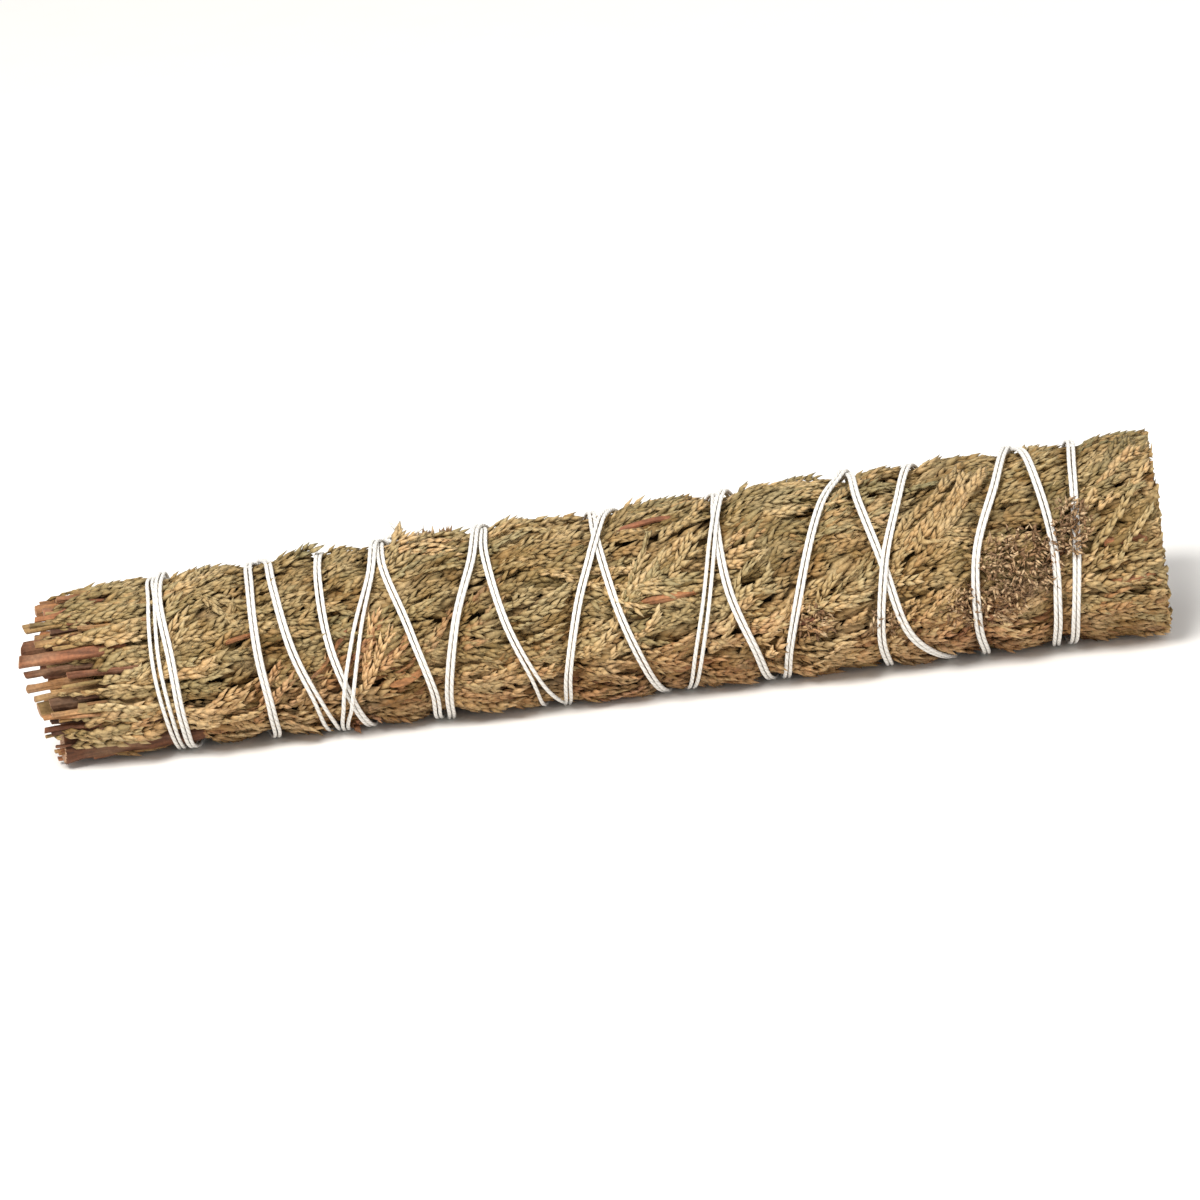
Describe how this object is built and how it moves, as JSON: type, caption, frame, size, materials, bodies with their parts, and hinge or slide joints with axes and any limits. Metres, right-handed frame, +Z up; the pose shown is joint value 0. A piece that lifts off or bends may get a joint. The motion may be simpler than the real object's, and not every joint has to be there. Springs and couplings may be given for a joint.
{
  "type": "smudge stick",
  "caption": "Bundle of dried cedar sprigs laid side by side and bound along its length with criss-crossed cotton thread, bare stems at one end and cut leafy tips at the other.",
  "frame": {"origin": "centre of the footprint, on the surface that the stick lies on", "axes": "+X along the bundle from the stem ends to the cut tips, +Z up"},
  "size_m": [0.2246, 0.0407, 0.0392],
  "materials": {
    "leaf": "dry matt scale leaves, olive to tan and brown",
    "inner_leaf": "dry matt scale leaves, darker inside the bundle",
    "stem": "reddish-brown flaking bark, pinkish cut wood",
    "thread": "undyed white cotton, softly twisted"
  },
  "bodies": {
    "root": {"outer_sprig_01": "leaf", "outer_sprig_02": "leaf", "outer_sprig_03": "leaf", "outer_sprig_04": "leaf", "outer_sprig_05": "leaf", "outer_sprig_06": "leaf", "outer_sprig_07": "leaf", "outer_sprig_08": "leaf", "outer_sprig_09": "leaf", "outer_sprig_10": "leaf", "outer_sprig_11": "leaf", "outer_sprig_12": "leaf", "outer_sprig_13": "leaf", "outer_sprig_14": "leaf", "inner_sprig_1": "inner_leaf", "inner_sprig_2": "inner_leaf", "inner_sprig_3": "inner_leaf", "inner_sprig_4": "inner_leaf", "inner_sprig_5": "inner_leaf", "inner_sprig_6": "inner_leaf", "inner_sprig_7": "inner_leaf", "middle_branch": "stem", "wrap_thread": "thread", "leaf_scrap_1": "leaf", "leaf_scrap_2": "leaf"}
  },
  "joints": []
}
